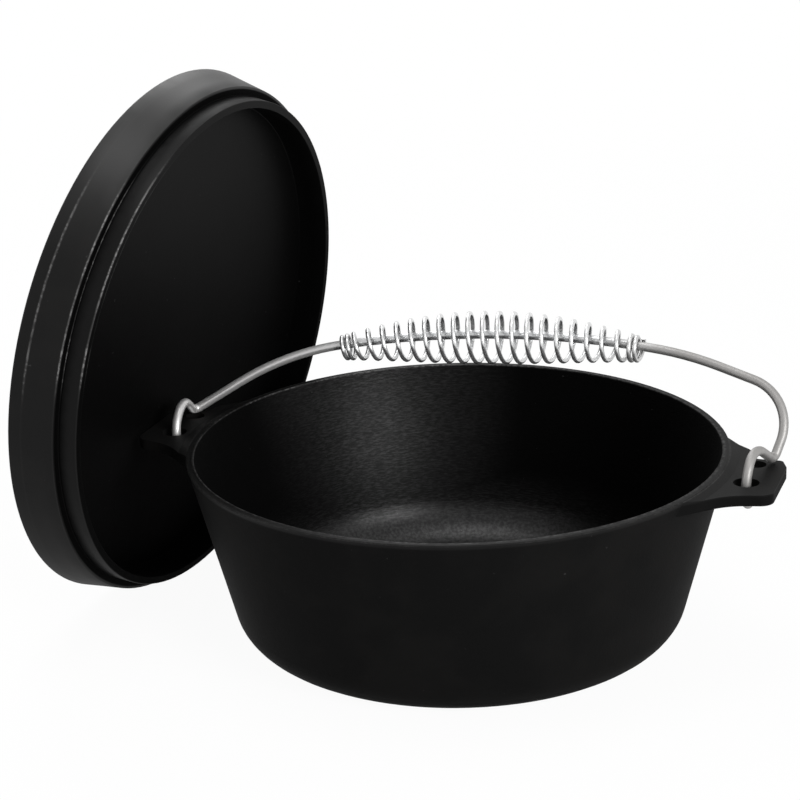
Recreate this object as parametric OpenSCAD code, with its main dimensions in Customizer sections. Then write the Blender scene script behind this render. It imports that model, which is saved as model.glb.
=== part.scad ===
// Camp dutch oven in four pieces: a flat-bottomed cast pot with two pierced ears, a cast lid
// with a coal rim, a bent wire bail that swings in the ears, and a barrel-shaped coil grip on it.
// Millimetres. Z is up from the floor, the ears lie on X, and the bail leans back towards +Y.
// The lid stands on its edge beside the pot and leans on the ear at -X.

/* [Pot] */
// Outer diameter of the rim
rim_d = 304; // [260:1:340]
// Height from the flat base to the rim
pot_h = 109.5; // [95:0.5:130]
// Thickness of the wall
wall = 4.5; // [3.5:0.1:6.5]
// Slope of the wall from upright, in degrees
taper = 14.5; // [8:0.5:18]
// Outside radius between wall and base
corner_r = 25; // [15:1:34]
// Inside radius between wall and floor
bowl_r = 30; // [15:1:40]
// Thickness of the floor
floor_t = 5; // [4:0.5:8]

/* [Ears] */
// Thickness of an ear
ear_t = 6; // [4:0.5:8]
// Drop from the rim to the top of an ear
ear_drop = 1.8; // [1:0.2:5]
// Reach of an ear beyond the rim
ear_reach = 31; // [29:0.5:38]
// Width of an ear where it meets the rim
ear_root_w = 87; // [80:1:98]
// Width of an ear at its tip
ear_tip_w = 63; // [58:1:66]
// Diameter of the front hole
front_hole_d = 14; // [13.5:0.5:15]
// Diameter of the back hole
back_hole_d = 11; // [10.6:0.1:11.6]
// Thickness of the slim bar behind the back hole
bar_t = 3.2; // [2.5:0.1:4]
// Half the width of the web between the two holes
web_half = 8.4; // [7.5:0.1:9]

/* [Bail] */
// Diameter of the bail wire
wire_d = 5.2; // [4.2:0.1:5.4]
// Play of the eye round the web of the ear
eye_play = 3; // [2.6:0.1:3.4]
// Clearance between the dip of the resting wire and the top of the ear
dip_fit = 0.35; // [0.3:0.05:0.6]
// Lean of the resting bail from upright, in degrees
lean = 46; // [40:1:50]
// Height of the wire over its pivot at the middle of the grip, along the lean
bail_rise = 76.6; // [70:0.5:86]
// Length of the arched wire in the grip, end to end
grip_chord = 176; // [160:1:184]
// Rise of the arched wire in the grip
grip_sag = 7.4; // [5:0.2:10]
// Slope of the grip, in degrees: the wire is bent unevenly, with a squarer shoulder at +X
grip_tilt = 4.2; // [0:0.2:5]

/* [Coil grip] */
// Diameter of the coil's wire
coil_wire_d = 2.6; // [2:0.1:3]
// Outer diameter of the coil at its ends
coil_end_d = 15; // [13.5:0.5:17]
// Outer diameter of the coil at its middle
coil_mid_d = 31; // [24:0.5:34]
// Open turns along the barrel
open_turns = 19; // [14:1:20]
// Close turns at each end
close_turns = 2; // [1:1:3]
// Clearance between the hanging coil's ends and the top of the bail wire
coil_fit = 0.35; // [0.3:0.05:1]

/* [Lid] */
// Diameter of the coal rim's top edge
coal_rim_d = 313; // [306:1:330]
// Height from the seat to the top of the coal rim
lid_h = 25.5; // [20:0.5:32]
// Thickness of the coal rim
coal_rim_t = 5; // [4:0.5:7]
// Depth of the coal tray
tray_depth = 12.5; // [8:0.5:14]
// Thickness of the lid's plate
plate_t = 5.5; // [4:0.5:7]
// Drop of the locating ring below the seat
ring_h = 11; // [8:0.5:14]
// Thickness of the locating ring
ring_t = 5; // [4:0.5:7]
// Clearance between the locating ring and the pot's mouth
ring_fit = 1.3; // [0.8:0.1:2.5]
// Centre-line radius of the loop handle
loop_r = 26; // [22:1:34]
// Diameter of the loop handle's bar
loop_d = 11; // [9:0.5:13]

/* [Lid at rest] */
// Turn of the standing lid about the upright, in degrees
lid_yaw = 6.45; // [2:0.05:9]
// Lean of the standing lid towards the pot, in degrees
lid_lean = 9; // [5:0.5:10]
// Distance of the lid's centre behind the ears
lid_back = 27.8; // [15:0.2:40]
// Clearance between the lid's plate and the ear that it leans on
lid_gap = 0.4; // [0.3:0.1:1]

/* [Hidden] */
round_fn = 180;
wire_fn = 48;
corner_steps = 10;
edge_break = 0.8;
over = 1;
tiny = 0.01;

rim_r = rim_d / 2;
wall_k = tan(taper);
corner_k = sqrt(1 + wall_k * wall_k) - wall_k;
mouth_r = rim_r - wall;

ear_top = pot_h - ear_drop;
ear_tip_x = rim_r + ear_reach;
pivot_x = rim_r + ear_reach * 0.461;
pivot_z = ear_top - ear_t / 2;
eye_r = web_half + wire_d / 2 + eye_play;
back_hole_y = web_half + back_hole_d / 2;
front_hole_y = -web_half - front_hole_d / 2;
bar_y = back_hole_y + back_hole_d / 2 + bar_t;

lid_seat_r = rim_r - edge_break * 0.6;
ring_r = mouth_r - ring_fit;
ring_draft = 0.6;
plate_low = tray_depth + plate_t;
lid_deep = lid_h + ring_h;
loop_leg = loop_d * 0.55;
loop_sink = plate_t * 0.4;

iron = [0.13, 0.13, 0.14];
zinc = [0.72, 0.73, 0.75];
bright = [0.78, 0.79, 0.8];

// Unit vector
function unit(v) = v / norm(v);

// Points of one rounded corner of an outline
function corner(p0, p1, p2, r) =
    let (u = unit(p0 - p1), v = unit(p2 - p1), half = acos(u * v) / 2,
         c = p1 + unit(u + v) * r / sin(half), from = p1 + u * r / tan(half) - c,
         sweep = 180 - 2 * half, way = (u[0] * v[1] - u[1] * v[0]) > 0 ? -1 : 1,
         a0 = atan2(from[1], from[0]))
    [for (i = [0 : corner_steps]) let (a = a0 + way * sweep * i / corner_steps)
        c + r * [cos(a), sin(a)]];

// Closed outline with a radius at each point
function rounded(pts, radii) =
    let (n = len(pts))
    [for (i = [0 : n - 1]) each corner(pts[(i + n - 1) % n], pts[i], pts[(i + 1) % n], radii[i])];

// One ear, seen from above, at +X: it runs out along the rim at both ends
front_run_y = ear_root_w * 0.68;
back_run_y = ear_root_w * 0.59;
run_sink = wall * 0.45;
root_in = wall * 5;
function run_point(y) = [sqrt(rim_r * rim_r - y * y) - run_sink, y];
ear_corners = [
    [rim_r - root_in, -front_run_y],
    run_point(-front_run_y),
    [rim_r + ear_reach * 0.29, -ear_root_w * 0.42],
    [ear_tip_x, -ear_tip_w / 2],
    [ear_tip_x, ear_tip_w * 0.2],
    [ear_tip_x - ear_reach * 0.13, bar_y + bar_t * 0.15],
    [pivot_x + ear_reach * 0.21, bar_y],
    [pivot_x - ear_reach * 0.05, bar_y],
    [rim_r + ear_reach * 0.21, ear_root_w * 0.42],
    run_point(back_run_y),
    [rim_r - root_in, back_run_y]
];
ear_radii = [1, 0.5, 36, 8, 6, 3, 1.5, 1.5, 5, 0.5, 1];
ear_outline = rounded(ear_corners, ear_radii);
ear_rise_w = ear_reach * 0.16;

// A straight-sided bowl outline with a round corner at its foot, up to the height h
module bowl_half(r_top, h, low, r_corner, top) {
    r_low = r_top - (h - low) * wall_k;
    cx = r_low - r_corner * corner_k;
    polygon([[0, low], [cx, low],
             [cx + r_corner * cos(taper), low + r_corner * (1 - sin(taper))],
             [r_top, h], [r_top, top], [0, top]]);
    translate([cx, low + r_corner]) intersection() {
        circle(r = r_corner, $fn = round_fn);
        translate([0, -r_corner]) square([r_corner, r_corner]);
    }
}

// An ear is flat on top and rises to the rim in a short slope
module ear() {
    difference() {
        intersection() {
            translate([0, 0, ear_top - ear_t]) linear_extrude(ear_t + ear_drop) polygon(ear_outline);
            rotate_extrude($fn = round_fn) polygon([
                [0, ear_top - ear_t - over], [2 * ear_tip_x, ear_top - ear_t - over],
                [2 * ear_tip_x, ear_top], [rim_r + ear_rise_w, ear_top],
                [rim_r - edge_break / 2, pot_h - edge_break / 2], [0, pot_h - edge_break / 2]]);
        }
        for (hole = [[front_hole_y, front_hole_d], [back_hole_y, back_hole_d]])
            translate([pivot_x, hole[0], ear_top - ear_t - over])
                cylinder(d = hole[1], h = ear_t + 2 * over, $fn = wire_fn);
    }
}

// The pot: bowl and ears in one casting
module pot() {
    color(iron) difference() {
        union() {
            rotate_extrude($fn = round_fn) difference() {
                bowl_half(rim_r, pot_h, 0, corner_r, pot_h);
                polygon([[rim_r - edge_break, pot_h], [rim_r + over, pot_h - edge_break - over],
                         [rim_r + over, pot_h + over], [rim_r - edge_break, pot_h + over]]);
            }
            ear();
            mirror([1, 0, 0]) ear();
        }
        rotate_extrude($fn = round_fn) bowl_half(mouth_r, pot_h, floor_t, bowl_r, pot_h + over);
    }
}

// The bail's route: x across, s along the lean and w square to it, counted from the pivot
function lean_point(x, s, w) =
    [x, s * sin(lean) - w * cos(lean), pivot_z + s * cos(lean) + w * sin(lean)];
function heading(a) = [cos(a), sin(a)];

grip_bow_r = (grip_chord * grip_chord / 4 + grip_sag * grip_sag) / (2 * grip_sag);
grip_half = asin(grip_chord / 2 / grip_bow_r);
grip_shift = grip_chord * 0.0256;
grip_mid = [grip_shift, bail_rise - grip_sag];
grip_side = heading(grip_tilt);
grip_up = heading(grip_tilt + 90);
grip_crown = grip_mid + grip_up * grip_chord / 2 * tan(grip_half);
grip_left = grip_mid - grip_side * grip_chord / 2;
grip_right = grip_mid + grip_side * grip_chord / 2;
lead_left = grip_chord * 0.194;
lead_right = grip_chord * 0.148;

// The eye: an arc from its free end under the ear, up through the front hole and over the top
eye_from = 256;
eye_to = 5;
eye_turn = (eye_from - eye_to) / 3;
eye_out = eye_r / cos(eye_turn / 2);
eye_skew = [-0.19, -0.08, 0.17] * wire_d;
dip_out = [wire_d * 0.58, wire_d * 1.6];
dip_bend = wire_d * 0.81;
dip_round = dip_bend * 0.37;
dip_y = back_hole_y + back_hole_d * 0.45;
dip_z = ear_t / 2 + dip_fit + wire_d / 2 - dip_round;
function eye_point(r, a, x) = [x, r * cos(a), r * sin(a)];
function eye_route(x, out) = [
    eye_point(eye_r, eye_from, x + eye_skew[0]),
    for (i = [0 : 2]) eye_point(eye_out, eye_from - eye_turn * (i + 0.5), x + eye_skew[i]),
    [x + out, dip_y * sin(lean) + dip_z * cos(lean), dip_z * sin(lean) - dip_y * cos(lean)]
];
function flip(route) = [for (i = [len(route) - 1 : -1 : 0]) [-route[i][0], route[i][1], route[i][2]]];
function flat(p) = [p[0], p[1], 0];

arch_route = [
    flat(grip_left - heading(grip_tilt + grip_half) * lead_left),
    flat(grip_crown),
    flat(grip_right + heading(grip_tilt - grip_half) * lead_right)
];
right_shoulder = [pivot_x + ear_reach * 0.565, bail_rise * 0.67, 0];
bail_lean_route = concat(eye_route(pivot_x, dip_out[1]), [right_shoulder, arch_route[2], arch_route[1],
                         arch_route[0]], flip(eye_route(pivot_x, dip_out[0])));
bail_route = [for (p = bail_lean_route) lean_point(p[0], p[1], p[2])];

eye_bend = eye_r * 0.985;
shoulder_bend = bail_rise * 0.365;
sweep_bend = grip_chord * 1.08;
slope_bend = grip_chord * 0.92;
eye_bends = [0, eye_bend, eye_bend, eye_bend, dip_bend];
bail_bends = concat(eye_bends, [shoulder_bend, sweep_bend, grip_bow_r, slope_bend],
                    [for (i = [len(eye_bends) - 1 : -1 : 0]) eye_bends[i]]);

// Half the turn of the route at its point i, and the length that its bend takes on each side
function turn_at(i) = acos(unit(bail_route[i] - bail_route[i - 1]) * unit(bail_route[i + 1] - bail_route[i]));
function take(i) = (i == 0 || i == len(bail_route) - 1) ? 0 : bail_bends[i] * tan(turn_at(i) / 2);

// A straight stretch, a hair slimmer than the bends and reaching a little way into them
rod_ease = 0.04;
rod_lap = 0.2;
module rod(a, b) {
    run = b - a;
    translate(a) rotate([0, acos(run[2] / norm(run)), atan2(run[1], run[0])])
        translate([0, 0, -rod_lap])
            cylinder(d = wire_d - rod_ease, h = norm(run) + 2 * rod_lap, $fn = wire_fn);
}

module bend(i) {
    u = unit(bail_route[i] - bail_route[i - 1]);
    n = unit(cross(u, unit(bail_route[i + 1] - bail_route[i])));
    inward = cross(n, u);
    tip = acos(n[2]);
    spin = atan2(n[1], n[0]);
    across = [cos(tip) * cos(spin), cos(tip) * sin(spin), -sin(tip)];
    along = [-sin(spin), cos(spin), 0];
    translate(bail_route[i] - u * take(i) + inward * bail_bends[i])
        rotate([0, tip, spin]) rotate([0, 0, atan2(-(inward * along), -(inward * across))])
            rotate_extrude(angle = turn_at(i), $fn = round_fn)
                translate([bail_bends[i], 0]) circle(d = wire_d, $fn = wire_fn);
}

// The bail: one wire from eye to eye
module bail_wire() {
    color(zinc) union() {
        for (i = [0 : len(bail_route) - 2]) {
            run = bail_route[i + 1] - bail_route[i];
            a = bail_route[i] + unit(run) * take(i);
            b = bail_route[i + 1] - unit(run) * take(i + 1);
            if ((b - a) * unit(run) > tiny) rod(a, b);
        }
        for (i = [1 : len(bail_route) - 2]) bend(i);
    }
}

// The coil: a tube wound round the arched wire, close at its ends and open along the barrel
coil_rings = 18;
coil_sides = 8;
coil_turns = open_turns + 2 * close_turns;
coil_gap = coil_wire_d * 0.23;
coil_close = coil_wire_d + coil_gap;
coil_open = (grip_chord - 2 * close_turns * coil_close) / open_turns;
coil_end_r = (coil_end_d - coil_wire_d) / 2;
coil_mid_r = (coil_mid_d - coil_wire_d) / 2;
coil_hang = coil_end_r - coil_wire_d / 2 - wire_d / 2 - coil_fit;
coil_count = coil_turns * coil_rings;

// Place along the grip after t turns, from its left end
function coil_along(t) =
    t < close_turns ? t * coil_close :
    t > coil_turns - close_turns ? grip_chord - (coil_turns - t) * coil_close :
    close_turns * coil_close + (t - close_turns) * coil_open;
function coil_axis(l) =
    let (share = l / grip_chord, a = (2 * share - 1) * grip_half,
         p = grip_mid + grip_side * grip_bow_r * sin(a)
             + grip_up * (grip_bow_r * (cos(a) - 1) + grip_sag))
    lean_point(p[0], p[1], 0) - [0, 0, coil_hang];
function coil_radial(t) =
    let (a = (2 * coil_along(t) / grip_chord - 1) * grip_half,
         up = heading(grip_tilt + 90 - a),
         u = lean_point(up[0], up[1], 0) - lean_point(0, 0, 0),
         w = lean_point(0, 0, 1) - lean_point(0, 0, 0))
    u * cos(360 * t) + w * sin(360 * t);
function coil_point(t) =
    let (l = coil_along(t), r = coil_end_r + (coil_mid_r - coil_end_r) * sin(180 * l / grip_chord))
    coil_axis(l) + coil_radial(t) * r;

coil_line = [for (i = [0 : coil_count]) coil_point(i / coil_rings)];
coil_first = unit(coil_line[0] - coil_line[1]);
coil_last = unit(coil_line[coil_count] - coil_line[coil_count - 1]);
coil_path = concat([coil_line[0] + coil_first * coil_wire_d], coil_line,
                   [coil_line[coil_count] + coil_last * coil_wire_d]);
coil_n = len(coil_path);
function coil_ring(i) =
    let (t = unit(coil_path[min(i + 1, coil_n - 1)] - coil_path[max(i - 1, 0)]),
         out = coil_radial(min(max(i - 1, 0), coil_count) / coil_rings),
         u = unit(out - t * (out * t)), v = cross(t, u))
    [for (k = [0 : coil_sides - 1]) let (a = 360 * k / coil_sides)
        coil_path[i] + (u * cos(a) + v * sin(a)) * coil_wire_d / 2];
coil_points = [for (i = [0 : coil_n - 1]) each coil_ring(i)];
coil_faces = concat(
    [for (k = [1 : coil_sides - 2]) [0, k, k + 1]],
    [for (i = [0 : coil_n - 2], k = [0 : coil_sides - 1], half = [0, 1])
        let (a = i * coil_sides + k, b = i * coil_sides + (k + 1) % coil_sides)
        half == 0 ? [a, a + coil_sides, b] : [b, a + coil_sides, b + coil_sides]],
    [for (k = [1 : coil_sides - 2]) let (a = (coil_n - 1) * coil_sides) [a, a + k + 1, a + k]]);

// Least gap of the coil's wire to itself, measured between points more than half a turn apart
coil_self = min([for (i = [0 : coil_n - 1]) each
    [for (j = [i + coil_rings / 2 : 1 : min(i + 2 * coil_rings, coil_n - 1)])
        norm(coil_path[i] - coil_path[j])]]) - coil_wire_d;
echo(coil_least_gap = coil_self);

module coil_grip() {
    color(bright) polyhedron(points = coil_points, faces = coil_faces);
}

// Half outline of the lid as it lies closed, with the coal rim's top edge at zero height
module lid_half() {
    polygon([
        [0, -plate_low],
        [ring_r - ring_t - ring_draft, -plate_low],
        [ring_r - ring_t, -lid_deep],
        [ring_r - ring_draft, -lid_deep],
        [ring_r, -lid_h],
        [lid_seat_r, -lid_h],
        [coal_rim_d / 2, -edge_break],
        [coal_rim_d / 2 - edge_break, 0],
        [coal_rim_d / 2 - coal_rim_t, 0],
        [lid_seat_r - coal_rim_t + (coal_rim_d / 2 - lid_seat_r) * (1 - tray_depth / lid_h), -tray_depth],
        [0, -tray_depth]
    ]);
}

// The loop handle in the coal tray
module lid_loop() {
    translate([0, 0, loop_leg - tray_depth]) rotate([90, 0, 0])
        rotate_extrude(angle = 180, $fn = round_fn)
            translate([loop_r, 0]) circle(d = loop_d, $fn = wire_fn);
    for (side = [-1, 1]) translate([side * loop_r, 0, -tray_depth - loop_sink])
        cylinder(d = loop_d, h = loop_leg + loop_sink, $fn = wire_fn);
}

// Where the standing lid stays: on the floor, with its plate just clear of the ear at -X
lid_normal = [cos(lid_yaw) * cos(lid_lean), -sin(lid_yaw) * cos(lid_lean), -sin(lid_lean)];
lid_z = max(coal_rim_d / 2 * cos(lid_lean), lid_h * sin(lid_lean) + lid_seat_r * cos(lid_lean));
lid_x = min([for (p = ear_outline, z = [ear_top, ear_top - ear_t])
    (-p[0] * lid_normal[0] + (p[1] - lid_back) * lid_normal[1] + (z - lid_z) * lid_normal[2]
     - plate_low - lid_gap) / lid_normal[0]]);

module lid() {
    color(iron) translate([lid_x, lid_back, lid_z]) rotate([0, 90 - lid_lean, 180 - lid_yaw]) union() {
        rotate_extrude($fn = round_fn) lid_half();
        lid_loop();
    }
}

pot();
bail_wire();
coil_grip();
lid();
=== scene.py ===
# %% [markdown]
# # A camp dutch oven, dressed for its portrait
# The solids of this oven come from the CAD model: a cast pot, a cast lid that stands on its edge,
# a bent wire bail and a coil grip. This script keeps them as a fixed frame and gives them their
# looks: black seasoned iron with soft edges, zinc wire, a finely wound coil, soft light and a
# camera at the place where the photograph was taken from.

# %% Load the frame
import math

import bpy
from mathutils import Euler, Matrix, Vector


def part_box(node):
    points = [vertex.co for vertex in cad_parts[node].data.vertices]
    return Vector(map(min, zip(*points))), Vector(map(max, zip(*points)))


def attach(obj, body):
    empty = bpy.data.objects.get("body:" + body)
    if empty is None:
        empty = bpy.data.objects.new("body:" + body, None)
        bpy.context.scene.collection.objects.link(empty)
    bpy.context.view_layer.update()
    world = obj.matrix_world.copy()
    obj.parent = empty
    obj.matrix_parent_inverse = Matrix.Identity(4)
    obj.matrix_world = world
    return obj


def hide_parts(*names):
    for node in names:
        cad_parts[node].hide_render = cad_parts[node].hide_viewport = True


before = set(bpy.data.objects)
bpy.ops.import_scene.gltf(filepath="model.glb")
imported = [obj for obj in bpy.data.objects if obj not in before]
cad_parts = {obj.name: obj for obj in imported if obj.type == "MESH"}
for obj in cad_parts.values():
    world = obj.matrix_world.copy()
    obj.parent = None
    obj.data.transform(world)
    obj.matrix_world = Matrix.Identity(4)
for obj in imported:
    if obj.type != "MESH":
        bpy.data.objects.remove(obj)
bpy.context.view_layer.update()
MM = 0.001

# %% [markdown]
# ## The camera
# The photograph was taken from a little above the rim, about twenty degrees to the right of the
# front, with the camera rolled by under two degrees. A long lens keeps the ellipses of rim and base
# nearly parallel. The place below was worked out from the rim, the wall, the base and the ears.

# %% Camera
IMAGE_SIDE = 800
FOCAL_PIXELS = 2300.0
SENSOR = 36.0
FAR_CLIP = 30.0
VIEW_TURN = math.radians(19.52)
VIEW_RISE = math.radians(18.417)
VIEW_ROLL = math.radians(-1.737)
VIEW_DISTANCE = 1324.12 * MM
VIEW_SIDE, VIEW_UP = -35.14 * MM, 128.55 * MM


def camera_axes():
    """Right, up and backward directions of the camera, in the part's frame."""
    back = Vector((0, -math.cos(VIEW_RISE), math.sin(VIEW_RISE)))
    right = Vector((1, 0, 0))
    up = back.cross(right)
    rolled_right = right * math.cos(VIEW_ROLL) + up * math.sin(VIEW_ROLL)
    rolled_up = up * math.cos(VIEW_ROLL) - right * math.sin(VIEW_ROLL)
    turn = Matrix.Rotation(VIEW_TURN, 3, "Z")
    return turn @ rolled_right, turn @ rolled_up, turn @ back


cam_right, cam_up, cam_back = camera_axes()
camera_data = bpy.data.cameras.new("portrait_camera")
camera_data.sensor_fit = "HORIZONTAL"
camera_data.sensor_width = SENSOR
camera_data.lens = FOCAL_PIXELS * SENSOR / IMAGE_SIDE
camera_data.clip_end = FAR_CLIP
camera = bpy.data.objects.new("portrait_camera", camera_data)
bpy.context.collection.objects.link(camera)
place = cam_right * VIEW_SIDE + cam_up * VIEW_UP + cam_back * VIEW_DISTANCE
aim = Matrix((cam_right, cam_up, cam_back)).transposed().to_4x4()
camera.matrix_world = Matrix.Translation(place) @ aim
bpy.context.scene.camera = camera
print("camera at", [round(c, 3) for c in place])

# %% [markdown]
# ## Shader maths as Python
# A material is easier to read as a formula than as a web of nodes. The class below wraps one
# socket: arithmetic on it adds Math nodes, and `add` makes any other node.


# %% Shader helper
class Field:
    """A value that varies over a surface: one output socket of a node tree."""

    def __init__(self, tree, socket):
        self.tree = tree
        self.socket = socket

    def add(self, kind, settings=None, inputs=None, output=0):
        """A new node: its settings are set first, then its inputs are given or linked."""
        node = self.tree.nodes.new(kind)
        for name, value in (settings or {}).items():
            setattr(node, name, value)
        for name, value in (inputs or {}).items():
            if isinstance(value, Field):
                self.tree.links.new(value.socket, node.inputs[name])
            else:
                node.inputs[name].default_value = value
        return Field(self.tree, node.outputs[output])

    def math(self, operation, a, b=0.0, clamp=False):
        settings = {"operation": operation, "use_clamp": clamp}
        return self.add("ShaderNodeMath", settings, {0: a, 1: b})

    def __add__(self, other):
        return self.math("ADD", self, other)

    def __radd__(self, other):
        return self.math("ADD", other, self)

    def __sub__(self, other):
        return self.math("SUBTRACT", self, other)

    def __rsub__(self, other):
        return self.math("SUBTRACT", other, self)

    def __mul__(self, other):
        return self.math("MULTIPLY", self, other)

    def __rmul__(self, other):
        return self.math("MULTIPLY", other, self)

    def __truediv__(self, other):
        return self.math("DIVIDE", self, other)

    def __abs__(self):
        return self.math("ABSOLUTE", self)

    def clamped(self):
        return self.math("ADD", self, 0.0, clamp=True)

    def top(self, other):
        return self.math("MAXIMUM", self, other)

    def step(self, low, high):
        """0 below low, 1 above high and smooth between."""
        settings = {"interpolation_type": "SMOOTHSTEP"}
        inputs = {"Value": self, "From Min": low, "From Max": high}
        return self.add("ShaderNodeMapRange", settings, inputs)


# %% [markdown]
# A few more helpers follow: a new material with its shader, a way to fill the shader's sockets by
# name, and the nodes that every finish here starts from, which are noise, a colour blend and the
# three coordinates.


# %% Material helpers
def blend_colour(mask, low, high):
    """low where mask is 0 and high where it is 1, each a colour."""
    settings = {"data_type": "RGBA"}
    return mask.add("ShaderNodeMix", settings, {"Factor": mask, 6: low, 7: high}, output=2)


def grey(value, warmth=0.0):
    """A grey that leans to red by that share, or to blue below 0."""
    return (value * (1 + warmth), value, value * (1 - warmth), 1.0)


def new_material(name):
    """A material with its Principled shader, and the Object coordinates to start from."""
    material = bpy.data.materials.new(name)
    material.use_nodes = True
    tree = material.node_tree
    shader = tree.nodes["Principled BSDF"]
    coords = tree.nodes.new("ShaderNodeTexCoord")
    return material, shader, Field(tree, coords.outputs["Object"])


def feed(shader, **sockets):
    """Links or sets the shader's sockets by name, with _ for a space."""
    for name, value in sockets.items():
        socket = shader.inputs[name.replace("_", " ")]
        if isinstance(value, Field):
            value.tree.links.new(value.socket, socket)
        else:
            socket.default_value = value


def noise(coords, scale, detail=3.0, rough=0.55):
    """Cloudy noise from 0 to 1, mostly near the middle."""
    inputs = {"Vector": coords, "Scale": scale, "Detail": detail, "Roughness": rough}
    return coords.add("ShaderNodeTexNoise", {}, inputs)


def axes_of(coords):
    """The x, y and z of a vector, each as a Field."""
    split = coords.add("ShaderNodeSeparateXYZ", {}, {"Vector": coords})
    return [Field(coords.tree, output) for output in split.socket.node.outputs]


def paint(node, material):
    """Gives a piece one material all over."""
    node.data.materials.clear()
    node.data.materials.append(material)


# %% [markdown]
# ## Seasoned cast iron
# Iron cast in sand keeps a fine pebbled grain. Baked oil turns it black and gives it a low satin
# sheen that is patchy, because the oil ran a little before it set. Corners lose their oil first,
# so a paler line runs along each edge that gets knocked or ground, and it is drawn paler still as a
# painted highlight where the edges catch the light. One function makes this iron for pot and lid.
# Each hands it functions that say where it is painted darkest black as painted shade, where it is
# worn bare with a painted highlight, and where it is oily. The oil is the shader's coat, which
# shines without making the black below it any paler.

# %% Cast iron
GRAIN_SCALE, LUMP_SCALE, PATCH_SCALE, SPECK_SCALE = 900.0, 270.0, 26.0, 420.0
PATCH_SPAN, SPECK_SPAN = (0.38, 0.66), (0.79, 0.82)  # noise at which each begins and is full
# The darkest black is painted shade, for the pot's inside and the lid's underside; the pale grey is
# worn metal on the edges, with a painted highlight where they catch the light.
IRON_DARK, IRON_PATCH, IRON_PAINTED_SHADE = grey(0.0052), grey(0.0066, 0.02), grey(0.0021)
IRON_WEAR_AND_GLINT, IRON_SPECK = grey(0.26, 0.01), grey(0.10)
SPECK_SHARE = 0.2
ROUGH_LEAST, ROUGH_VARIES = 0.46, 0.14
GRAIN_RISE, LUMP_RISE, STREAK_RISE = 0.7, 0.5, 0.5
BUMP_STRENGTH, BUMP_DEPTH = 0.4, 0.4 * MM
OIL_GLOSS, OIL_IOR, FILM_LEAST = 0.40, 1.45, 0.5
CAST_ROUND, ROUND_SAMPLES = 0.4 * MM, 6


def iron_skin(name, sheen, painted_shade, worn, oil, streaks=None):
    """Black seasoned iron, with masks for painted shade, for edge wear with painted highlight, for
    an oil film and for streaks.
    """
    material, shader, coords = new_material(name)
    grain = noise(coords, GRAIN_SCALE, detail=4.0, rough=0.6)
    patch = noise(coords, PATCH_SCALE)
    specks = noise(coords, SPECK_SCALE, detail=1.0).step(*SPECK_SPAN)
    colour = blend_colour(patch.step(*PATCH_SPAN), IRON_DARK, IRON_PATCH)
    # Painted shade: the inside of the pot and the lid's underside are coloured the darkest black.
    colour = blend_colour(painted_shade(coords), colour, IRON_PAINTED_SHADE)
    # Pale grey: worn metal on the edges, plus a painted highlight where the edges catch the light.
    colour = blend_colour(worn(coords), colour, IRON_WEAR_AND_GLINT)
    colour = blend_colour(specks * SPECK_SHARE, colour, IRON_SPECK)
    rough = ROUGH_LEAST + ROUGH_VARIES * patch + ROUGH_VARIES * grain
    height = grain * GRAIN_RISE + noise(coords, LUMP_SCALE, detail=2.0) * LUMP_RISE
    film = oil(coords)
    if streaks:
        lines = streaks(coords)
        height = height + lines * STREAK_RISE
        film = film * (FILM_LEAST + lines)
    soft = coords.add("ShaderNodeBevel", {"samples": ROUND_SAMPLES}, {"Radius": CAST_ROUND})
    relief = {"Strength": BUMP_STRENGTH, "Distance": BUMP_DEPTH, "Height": height, "Normal": soft}
    bump = coords.add("ShaderNodeBump", {}, relief)
    feed(shader, Base_Color=colour, Roughness=rough, Normal=bump, Specular_IOR_Level=sheen)
    feed(shader, Coat_Weight=film.clamped(), Coat_Roughness=OIL_GLOSS, Coat_IOR=OIL_IOR)
    return material


# %% [markdown]
# A line of edge wear with painted highlight could be painted by hand on an image, but every edge of
# this oven is a circle. So a line is found from the Object coordinates, by the distance from an axis
# and the height, and two noises break it into beads and gaps.

# %% Rings of wear and painted highlight
BEAD_SCALE, BEAD_SPAN, BEAD_LEAST = 430.0, (0.44, 0.56), 0.25
GAP_SCALE, GAP_SPAN = 40.0, (0.32, 0.52)


def radius_of(x, y):
    """Distance from the axis, across it."""
    square = x * x + y * y
    return square.math("SQRT", square)


def ring_line(radius, height, at_radius, at_height, width):
    """1 on the circle of that radius and height, fading to 0 at that width."""
    away = abs(radius - at_radius) + abs(height - at_height)
    return (1 - away / width).clamped()


def broken(coords):
    """Beads and gaps along a line of wear and painted highlight."""
    beads = noise(coords, BEAD_SCALE, detail=2.0).step(*BEAD_SPAN)
    gaps = noise(coords, GAP_SCALE, detail=2.0).step(*GAP_SPAN)
    return (BEAD_LEAST + (1 - BEAD_LEAST) * beads) * gaps


# %% [markdown]
# The pot's lip is ground flat. Its two edges are worn a little all round, and the inner one carries
# a painted highlight on the far left, where the main lamp's reflection falls.

# %% The pot's lip
POT_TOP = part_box("pot")[1][2]
RIM_R, LIP = 152 * MM, 4.5 * MM
EDGE_WIDTH = 1.1 * MM
EDGE_LEAST, EDGE_BEADS = 0.035, 0.15
# Painted highlight on the lip's far-left inner edge: its strength, and the side where the main
# lamp's reflection falls.
GLINT_LEAST, GLINT_BEADS = 0.05, 0.45
LIT_SIDE = math.radians(128.5)
GLINT_SPAN = (0.6, 0.95)
NEAR_AXIS = 10 * MM


def along_lit_side(x, y):
    """Metres from the axis towards the far-left side, where the main lamp's reflection falls."""
    return x * math.cos(LIT_SIDE) + y * math.sin(LIT_SIDE)


def facing_of(x, y, r):
    """1 towards the far-left side where the main lamp's reflection falls, 0 a quarter turn from it.
    """
    return along_lit_side(x, y) / r.top(NEAR_AXIS)


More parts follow.
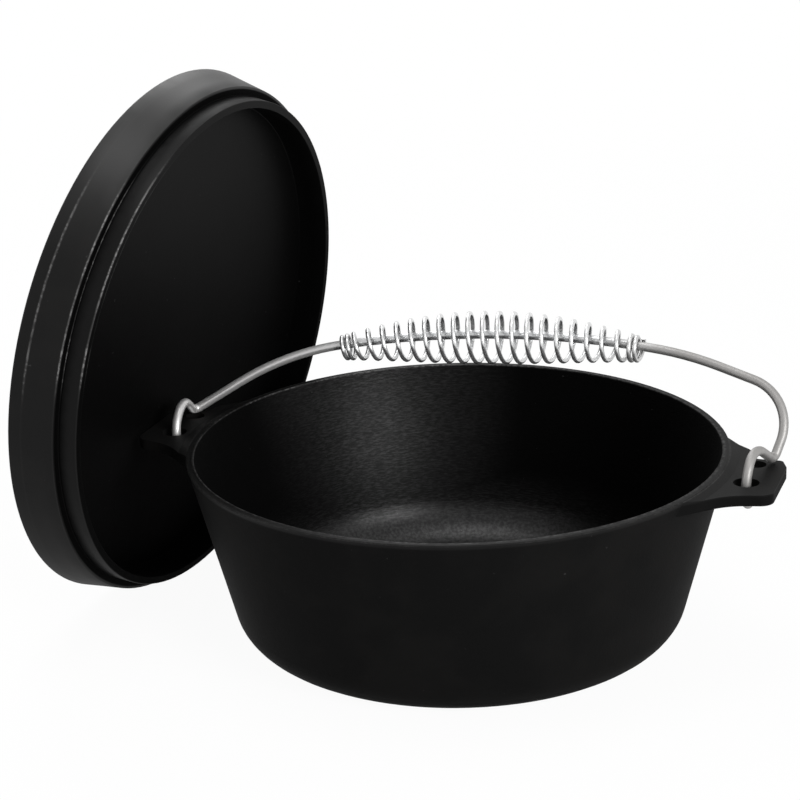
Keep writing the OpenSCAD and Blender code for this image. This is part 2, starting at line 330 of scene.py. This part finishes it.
def lip_wear_and_glint(coords):
    """Beaded worn lines on both edges of the lip, and a painted highlight on the inner edge of the
    far-left side.
    """
    x, y, z = axes_of(coords)
    r = radius_of(x, y)
    outer = ring_line(r, z, RIM_R, POT_TOP, EDGE_WIDTH)
    inner = ring_line(r, z, RIM_R - LIP, POT_TOP, EDGE_WIDTH)
    beads = broken(coords)
    worn = outer.top(inner) * (EDGE_LEAST + EDGE_BEADS * beads)
    # Painted highlight on the inner edge at the far left, where the main lamp's reflection falls.
    painted_glint = inner * facing_of(x, y, r).step(*GLINT_SPAN) * (GLINT_LEAST + GLINT_BEADS * beads)
    return worn.top(painted_glint)


# %% [markdown]
# Inside, the pot is painted blackest, as painted shade. The oil dried there in faint level streaks
# on the wall and in flecks on the floor, and it shines on one broad patch of the wall and on the
# floor below it. A noise that is stretched by a Mapping node gives the streaks.

# %% The pot's oil
WALL_SLOPE = math.tan(math.radians(14.5))
WALL_SKIN = (1.2 * MM, 2.4 * MM)
STREAK_SCALE, STREAK_SPAN = (260.0, 260.0, 1700.0), (0.38, 0.72)
FLECK_SCALE, FLECK_SPAN = 520.0, (0.36, 0.68)
FLECK_LEAST, FLECK_GAIN = 0.15, 0.6
STREAKS_FROM, FLOOR_SPAN = (12 * MM, 30 * MM), (12 * MM, 50 * MM)
WALL_SPAN, ALONG_SPAN = (0.78, 0.99), (-60 * MM, 100 * MM)
TOP_IN, TOP_UP = (0.0, 1 * MM), (-3.0 * MM, -1.5 * MM)
WALL_FILM, FLOOR_FILM, TOP_FILM = 0.36, 0.85, 0.34
POT_SHEEN = 0.012


def inside_of(r, z):
    """1 on the inside of wall and floor, 0 on the outside."""
    wall_r = (RIM_R - LIP) + (z - POT_TOP) * WALL_SLOPE
    return 1 - (r - wall_r).step(*WALL_SKIN)


def pot_painted_shade(coords):
    """Painted shade: the inside is coloured the darkest black."""
    x, y, z = axes_of(coords)
    return inside_of(radius_of(x, y), z)


def oil_streaks(coords):
    """Fine level lines inside the wall, broken up along their length, and flecks on the floor."""
    x, y, z = axes_of(coords)
    stretch = {"Vector": coords, "Scale": STREAK_SCALE}
    level = coords.add("ShaderNodeMapping", {"vector_type": "POINT"}, stretch)
    lines = noise(level, 1.0, rough=0.65).step(*STREAK_SPAN)
    flecks = FLECK_LEAST + FLECK_GAIN * noise(coords, FLECK_SCALE, rough=0.65).step(*FLECK_SPAN)
    high = z.step(*STREAKS_FROM)
    return (lines * high + flecks * (1 - high)) * inside_of(radius_of(x, y), z)


def oil_film(coords):
    """The film on wall and floor inside, and a thin one on top of the lip and the ears."""
    x, y, z = axes_of(coords)
    r = radius_of(x, y)
    wall = facing_of(x, y, r).step(*WALL_SPAN) * WALL_FILM
    bottom = (1 - z.step(*FLOOR_SPAN)) * along_lit_side(x, y).step(*ALONG_SPAN) * FLOOR_FILM
    tops = (r - (RIM_R - LIP)).step(*TOP_IN) * (z - POT_TOP).step(*TOP_UP) * TOP_FILM
    return (wall.top(bottom) * inside_of(r, z)).top(tops)


pot_iron = iron_skin("pot_iron", POT_SHEEN, pot_painted_shade, lip_wear_and_glint, oil_film, oil_streaks)
paint(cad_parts["pot"], pot_iron)
print("pot iron", len(pot_iron.node_tree.nodes), "nodes")

# %% [markdown]
# The lid's edges are turned on a lathe after casting: the seat, the locating ring and the coal rim
# catch the light as thin pale lines, which are painted as a faint worn line all round and a painted
# highlight at the upper front. Vector Math lays the standing lid flat about its own axis, so the
# same ring lines serve for it.

# %% The lid's turned edges
LID_LEAN, LID_YAW = math.radians(9.0), math.radians(6.45)
LID_CENTRE = Vector((-192.471, 27.8, 154.573)) * MM
LID_SEAT, LID_RING, RING_R = 25.5, 36.5, 145.6
LID_RINGS = (  # radius and depth below the coal rim of each turned edge in mm, and how bright it is
    (155.0, 7.5, 0.5),
    (151.5, LID_SEAT, 1.0),
    (RING_R, LID_SEAT, 2.0),
    (RING_R, LID_RING, 1.0),
    (141.2, LID_RING, 0.25),
)
LID_EDGE = 1.0 * MM
# Where the turned edges carry a painted highlight: at the upper front of the standing lid.
LID_GLINT_LOW, LID_GLINT_HIGH = (155 * MM, 185 * MM), (250 * MM, 280 * MM)
LID_GLINT_BACK = (-40 * MM, 80 * MM)
RING_LEAST, LID_GLINT_LEAST, LID_GLINT_BEADS = 0.02, 0.15, 0.75
lid_turn = Euler((0, math.pi / 2 - LID_LEAN, math.pi - LID_YAW)).to_matrix()


def lid_local(coords):
    """Object coordinates laid out from the lid's own centre and axis."""
    shift = {0: coords, 1: tuple(LID_CENTRE)}
    moved = coords.add("ShaderNodeVectorMath", {"operation": "SUBTRACT"}, shift)
    dot = {"operation": "DOT_PRODUCT"}
    axes = [tuple(lid_turn.col[i]) for i in range(3)]
    return [moved.add("ShaderNodeVectorMath", dot, {0: moved, 1: axis}, output=1) for axis in axes]


def lid_wear_and_glint(coords):
    """Beaded worn lines on the turned edges, with a painted highlight at the upper front, where they
    catch the light.
    """
    x, y, z = lid_local(coords)
    r = radius_of(x, y)
    edge_lines = None
    for radius, depth, strength in LID_RINGS:
        line = ring_line(r, z, radius * MM, -depth * MM, LID_EDGE) * strength
        edge_lines = line if edge_lines is None else edge_lines.top(line)
    _, behind, height = axes_of(coords)
    # Painted highlight: the turned edges are drawn paler at the upper front, where they catch the
    # light.
    level = height.step(*LID_GLINT_LOW) * (1 - height.step(*LID_GLINT_HIGH))
    lit_edges = level * (1 - behind.step(*LID_GLINT_BACK))
    return edge_lines * (RING_LEAST + lit_edges * (LID_GLINT_LEAST + LID_GLINT_BEADS * broken(coords)))


# %% [markdown]
# Oil stayed on the lid too: on the outside of the coal rim, most at the top, on the locating ring,
# on the upper plate and in the coal tray. The underside is painted as black as the inside of the
# pot, as painted shade.

# %% The lid's oil
BAND_SPAN, BAND_HIGH, BAND_GAIN = (149.6 * MM, 150.6 * MM), (220 * MM, 300 * MM), 1.7
RING_IN, RING_OUT = (145.0 * MM, 145.5 * MM), (145.8 * MM, 146.4 * MM)
RING_DEPTH, UNDER_DEPTH = (26.2 * MM, 26.8 * MM), (14.5 * MM, 16.5 * MM)
PLATE_HIGH = (110 * MM, 300 * MM)
BAND_FILM, RING_FILM, PLATE_FILM, TRAY_FILM = 0.23, 0.25, 0.17, 0.22
LID_SHEEN = 0.006


def lid_band(r):
    """1 on the outside of the coal rim."""
    return r.step(*BAND_SPAN)


def lid_underside(z):
    """1 on the plate's underside and the ring, 0 in the coal tray and on its loop."""
    return (0 - z).step(*UNDER_DEPTH)


def lid_oil(coords):
    """Oil that stayed on the tray, the outsides of coal rim and ring, and the upper plate."""
    x, y, z = lid_local(coords)
    r = radius_of(x, y)
    _, _, height = axes_of(coords)
    band = lid_band(r) * BAND_FILM * (1 + BAND_GAIN * height.step(*BAND_HIGH))
    past_plate = r.step(*RING_IN)
    ring = past_plate * (1 - r.step(*RING_OUT)) * (0 - z).step(*RING_DEPTH) * RING_FILM
    plate = (1 - past_plate) * height.step(*PLATE_HIGH) * PLATE_FILM
    tray = (1 - lid_underside(z)) * TRAY_FILM
    return band.top(ring).top(plate).top(tray)


def lid_painted_shade(coords):
    """Painted shade: the underside, inside the coal rim's outer wall, is coloured the darkest black.
    """
    x, y, z = lid_local(coords)
    return (1 - lid_band(radius_of(x, y))) * lid_underside(z)


lid_iron = iron_skin("lid_iron", LID_SHEEN, lid_painted_shade, lid_wear_and_glint, lid_oil)
paint(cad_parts["lid"], lid_iron)
print("lid iron", len(lid_iron.node_tree.nodes), "nodes")

# %% [markdown]
# ## Soft cast edges
# Nothing that comes out of a sand mould has a sharp corner, but the CAD solids have. The lid is
# rounded by modifiers: Weld joins its loose triangles, Decimate makes one face of those that lie
# in one plane, so that no sliver shows as a ray, and Bevel rounds what is sharp. On the pot a Bevel
# modifier would fold over where the ears run into the wall, so there only the Bevel node of the
# iron softens the light at the edges. The wire is welded, for the hair-thin steps at its bends.

# %% Rounded edges
CLOSE_POINTS = 0.2 * MM
SHARP, FLAT = math.radians(50), math.radians(0.05)
ROUND_STEPS = 3


def join_points(node, reach):
    """Merges points that lie closer than reach."""
    node.modifiers.new("join", "WELD").merge_threshold = reach


def round_edges(node, width):
    """Rounds every corner that is sharper than SHARP."""
    merge = node.modifiers.new("flat_faces", "DECIMATE")
    merge.decimate_type = "DISSOLVE"
    merge.angle_limit = FLAT
    bevel = node.modifiers.new("soft_edges", "BEVEL")
    bevel.width = width
    bevel.segments = ROUND_STEPS
    bevel.limit_method = "ANGLE"
    bevel.angle_limit = SHARP
    bevel.harden_normals = True


for name in ("lid", "bail_wire"):
    join_points(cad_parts[name], CLOSE_POINTS)
round_edges(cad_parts["lid"], CAST_ROUND)
print("lid rounded by", CAST_ROUND, "m")

# %% [markdown]
# ## Zinc wire
# The bail and its coil are steel wire dipped in zinc: pale, with a faint mottle where the zinc
# cooled. It is still bright along the grip and has gone dull towards the ears, so the finish runs
# from one to the other with the distance from the middle. Handling has greyed the right end more
# than the left.

# %% Wire finishes
WIRE_BRIGHT, WIRE_PALE, WIRE_GREYED = grey(0.60, -0.01), grey(0.60, 0.01), grey(0.27, 0.025)
COIL_BRIGHT, COIL_PALE, COIL_GREYED = grey(0.70, -0.005), grey(0.58), grey(0.50, 0.01)
WIRE_ROUGH, COIL_ROUGH = (0.27, 0.34, 0.50), (0.24, 0.32, 0.36)  # at the grip, left end, right end
WIRE_METAL, COIL_METAL = (0.85, 0.55), (0.85, 0.7)  # at the grip and at both ends
DULL_FROM, DULL_TO = 45 * MM, 120 * MM
MOTTLE_SCALE, MOTTLE_SHARE = 200.0, 0.25


def zinc_skin(name, colours, roughness, metal):
    """Zinc from bright in the middle to dull at the ears, each with its roughness and metal."""
    material, shader, coords = new_material(name)
    bright, pale, greyed = colours
    bright_rough, pale_rough, greyed_rough = roughness
    bright_metal, dull_metal = metal
    x, _, _ = axes_of(coords)
    age = abs(x).step(DULL_FROM, DULL_TO)
    mottle = noise(coords, MOTTLE_SCALE)
    worn = (age + MOTTLE_SHARE * (mottle - 0.5)).clamped()
    side = x.step(-DULL_TO, DULL_TO)
    dull = blend_colour(side, pale, greyed)
    dull_rough = pale_rough + (greyed_rough - pale_rough) * side
    feed(shader, Base_Color=blend_colour(worn, bright, dull))
    feed(shader, Roughness=bright_rough + (dull_rough - bright_rough) * worn)
    feed(shader, Metallic=bright_metal + (dull_metal - bright_metal) * worn)
    return material


wire_zinc = zinc_skin("wire_zinc", (WIRE_BRIGHT, WIRE_PALE, WIRE_GREYED), WIRE_ROUGH, WIRE_METAL)
coil_zinc = zinc_skin("coil_zinc", (COIL_BRIGHT, COIL_PALE, COIL_GREYED), COIL_ROUGH, COIL_METAL)
paint(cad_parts["bail_wire"], wire_zinc)
print("zinc", wire_zinc.name, coil_zinc.name)

# %% [markdown]
# ## The coil grip
# A barrel-shaped coil keeps the hot wire off the hand. It is wound close at its ends and open
# along the barrel, and it hangs on the arched wire. It could be made by a Screw modifier, but its
# radius and its axis both change on the way. So the route is a formula, an arc for the wire, a
# barrel for the radius and a count of turns, and a curve with a round section follows it.

# %% Coil route, in millimetres
PIVOT_Z = 104.7
LEAN = math.radians(46)
GRIP_CHORD, GRIP_SAG, GRIP_TILT = 176.0, 7.4, math.radians(4.2)
GRIP_MID = Vector((4.5056, 69.2))
COIL_WIRE, COIL_END_R, COIL_MID_R, COIL_HANG = 2.6, 6.2, 14.2, 1.95
OPEN_TURNS, CLOSE_TURNS = 19, 2
CLOSE_RATIO = 1.23
CLOSE_PITCH = COIL_WIRE * CLOSE_RATIO
STEPS_PER_TURN = 32

turns = OPEN_TURNS + 2 * CLOSE_TURNS
open_pitch = (GRIP_CHORD - 2 * CLOSE_TURNS * CLOSE_PITCH) / OPEN_TURNS
bow_r = (GRIP_CHORD**2 / 4 + GRIP_SAG**2) / (2 * GRIP_SAG)
half_angle = math.asin(GRIP_CHORD / 2 / bow_r)
lean_up = Vector((0, math.sin(LEAN), math.cos(LEAN)))
lean_out = Vector((0, -math.cos(LEAN), math.sin(LEAN)))
across = Vector((1, 0, 0))


def coil_along(t):
    """Millimetres along the grip after t turns."""
    if t < CLOSE_TURNS:
        return t * CLOSE_PITCH
    if t > turns - CLOSE_TURNS:
        return GRIP_CHORD - (turns - t) * CLOSE_PITCH
    return CLOSE_TURNS * CLOSE_PITCH + (t - CLOSE_TURNS) * open_pitch


def coil_point(t):
    """The middle of the coil's wire after t turns, in metres."""
    share = coil_along(t) / GRIP_CHORD
    a = (2 * share - 1) * half_angle
    side = across * math.cos(GRIP_TILT) + lean_up * math.sin(GRIP_TILT)
    up = lean_up * math.cos(GRIP_TILT) - across * math.sin(GRIP_TILT)
    centre = across * GRIP_MID.x + lean_up * GRIP_MID.y + Vector((0, 0, PIVOT_Z - COIL_HANG))
    centre += side * bow_r * math.sin(a) + up * (bow_r * (math.cos(a) - 1) + GRIP_SAG)
    radial = side * math.sin(a) + up * math.cos(a)
    r = COIL_END_R + (COIL_MID_R - COIL_END_R) * math.sin(math.pi * share)
    spin = 2 * math.pi * t
    return (centre + (radial * math.cos(spin) + lean_out * math.sin(spin)) * r) * MM


route = [coil_point(i / STEPS_PER_TURN) for i in range(turns * STEPS_PER_TURN + 1)]
route = [route[0] + (route[0] - route[1]).normalized() * COIL_WIRE * MM] + route
route += [route[-1] + (route[-1] - route[-2]).normalized() * COIL_WIRE * MM]
print("coil", turns, "turns,", len(route), "points")

# %% Coil mesh
SECTION_STEPS = 3

bpy.ops.object.select_all(action="DESELECT")
coil_curve = bpy.data.curves.new("coil", "CURVE")
coil_curve.dimensions = "3D"
coil_curve.bevel_depth = COIL_WIRE / 2 * MM
coil_curve.bevel_resolution = SECTION_STEPS
coil_curve.use_fill_caps = True
spline = coil_curve.splines.new("POLY")
spline.points.add(len(route) - 1)
for point, at in zip(spline.points, route):
    point.co = (*at, 1.0)
coil = bpy.data.objects.new("coil", coil_curve)
bpy.context.collection.objects.link(coil)
bpy.context.view_layer.objects.active = coil
coil.select_set(True)
bpy.ops.object.convert(target="MESH")
bpy.ops.object.shade_smooth()
coil = bpy.context.view_layer.objects.active
paint(coil, coil_zinc)
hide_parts("coil_grip")
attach(coil, "grip_body")
print("coil", len(coil.data.polygons), "faces")

# %% [markdown]
# ## Floor, backdrop and light
# The photograph has the oven on plain white. The floor is a pale sheet that carries a faint shadow,
# which fades out with the distance, and the world is white where the camera, or a shiny surface,
# looks at it. Both ask the Light Path node what kind of ray it is, so the white adds no light to
# the oven.

# %% Floor
FLOOR_SIZE, FLOOR_DROP = 14.0, 0.4 * MM
FLOOR_PALE, FLOOR_ROUGH, WHITE = grey(0.95), 0.9, grey(1.0)
SHADOW_SHARE, SHADOW_SPAN = 0.05, (0.5, 1.6)


def seen_directly(start):
    """1 for a ray from the camera, a reflection or clear glass, 0 for one that lights the oven."""
    rays = start.add("ShaderNodeLightPath").socket.node.outputs
    kinds = ("Is Camera Ray", "Is Glossy Ray", "Is Transmission Ray")
    sight, shine, through = (Field(start.tree, rays[kind]) for kind in kinds)
    return sight.top(shine).top(through)


bpy.ops.object.select_all(action="DESELECT")
bpy.ops.mesh.primitive_plane_add(size=FLOOR_SIZE, location=(0, 0, -FLOOR_DROP))
floor = bpy.context.active_object
floor.name = "floor"
floor_material, floor_shader, floor_coords = new_material("pale_floor")
feed(floor_shader, Base_Color=FLOOR_PALE, Roughness=FLOOR_ROUGH)
floor_x, floor_y, _ = axes_of(floor_coords)
shadow = SHADOW_SHARE * (1 - radius_of(floor_x, floor_y).step(*SHADOW_SPAN))
share = seen_directly(floor_coords) * (1 - shadow)
lit = Field(floor_coords.tree, floor_shader.outputs[0])
white = floor_coords.add("ShaderNodeEmission", {}, {"Color": WHITE, "Strength": 1.0})
mixed = floor_coords.add("ShaderNodeMixShader", {}, {0: share, 1: lit, 2: white})
surface = floor_coords.tree.nodes["Material Output"].inputs["Surface"]
floor_coords.tree.links.new(mixed.socket, surface)
paint(floor, floor_material)
print("floor", FLOOR_SIZE, "m")

# %% World
ROOM_LIGHT = 0.3

world = bpy.data.worlds.new("white_room")
bpy.context.scene.world = world
world.use_nodes = True
sky = world.node_tree.nodes["Background"]
seen = seen_directly(Field(world.node_tree, sky.outputs[0]))
feed(sky, Color=WHITE, Strength=seen * (1 - ROOM_LIGHT) + ROOM_LIGHT)
print("world", world.name)

# %% [markdown]
# The main lamp stands at the front right, above the rim, so it lights the far left of the pot's
# inside and leaves the right in shade. The others are weaker: one on the left, one behind that
# gives the floor of the pot its sheen, and one overhead.

# %% Lamps
TARGET = Vector((0, 0, 90)) * MM


def lamp(name, right, up, back, size, power):
    """A soft square lamp, placed in metres to the right, up and towards the camera."""
    data = bpy.data.lights.new(name, "AREA")
    data.size = size
    data.energy = power
    holder = bpy.data.objects.new(name, data)
    bpy.context.collection.objects.link(holder)
    level_back = Vector((cam_back.x, cam_back.y, 0)).normalized()
    holder.location = TARGET + cam_right * right + Vector((0, 0, up)) + level_back * back
    holder.rotation_euler = (TARGET - holder.location).to_track_quat("-Z", "Y").to_euler()
    print("lamp", name, power, "W")


lamp("main", right=1.1, up=0.75, back=1.4, size=0.8, power=29.0)
lamp("fill", right=-1.6, up=0.5, back=0.2, size=0.9, power=6.0)
lamp("back", right=-0.3, up=1.2, back=-1.3, size=0.9, power=10.0)
lamp("overhead", right=-0.1, up=1.9, back=0.1, size=0.8, power=9.0)
bpy.context.scene.view_settings.view_transform = "Standard"
